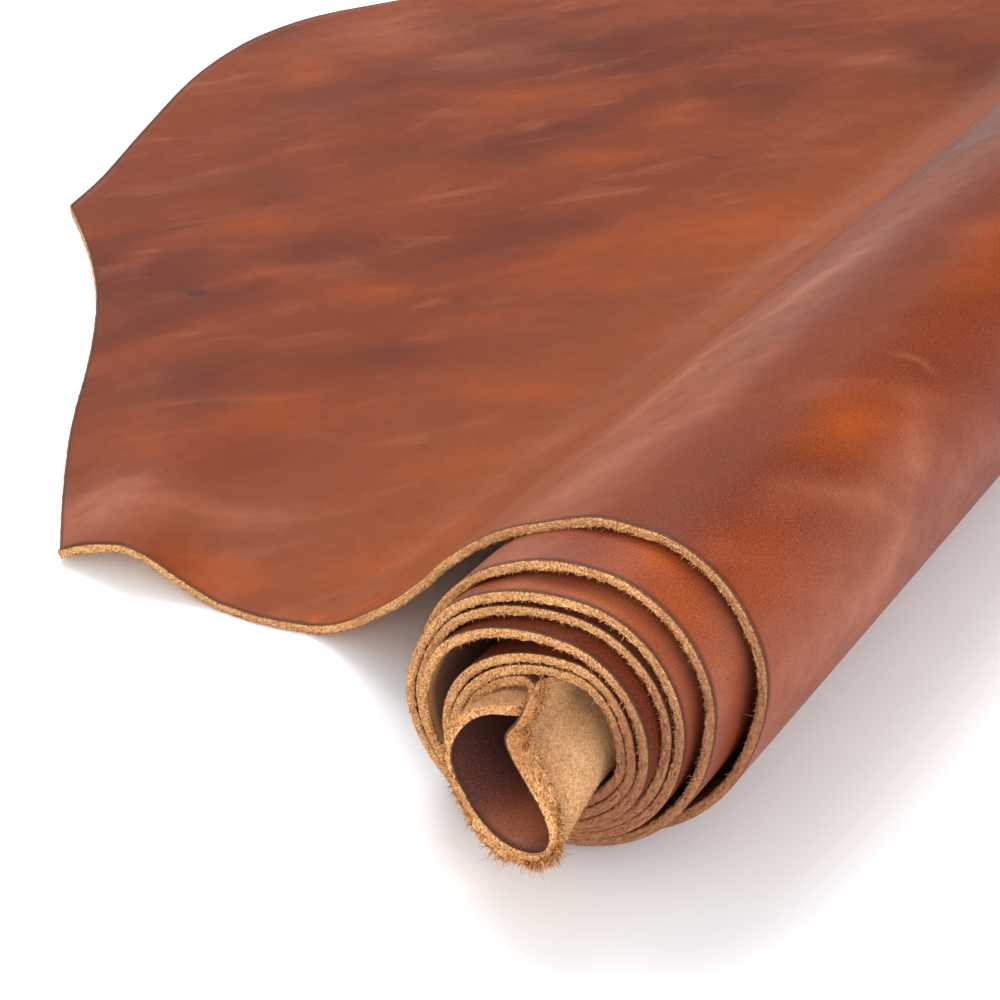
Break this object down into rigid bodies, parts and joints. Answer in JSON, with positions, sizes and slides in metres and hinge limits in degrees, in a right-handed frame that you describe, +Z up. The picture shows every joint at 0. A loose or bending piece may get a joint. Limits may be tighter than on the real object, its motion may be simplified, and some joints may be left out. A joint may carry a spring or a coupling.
{
  "type": "leather side",
  "caption": "Side of thick brown leather, rolled up grain side out, with the loose end lying flat on the floor beside the roll.",
  "frame": {"origin": "on the floor, in the middle of the flat strip under the roll, about halfway along the roll", "axes": "+Z up from the floor, +Y along the roll's axis away from the end that shows the wound turns, +X from the loose end towards the roll"},
  "size_m": [0.559, 0.9155, 0.1022],
  "materials": {
    "leather_grain": "oiled red-brown full grain face, tan cut edges and a pale suede flesh side"
  },
  "bodies": {
    "root": {"leather_side": "leather_grain"}
  },
  "joints": []
}
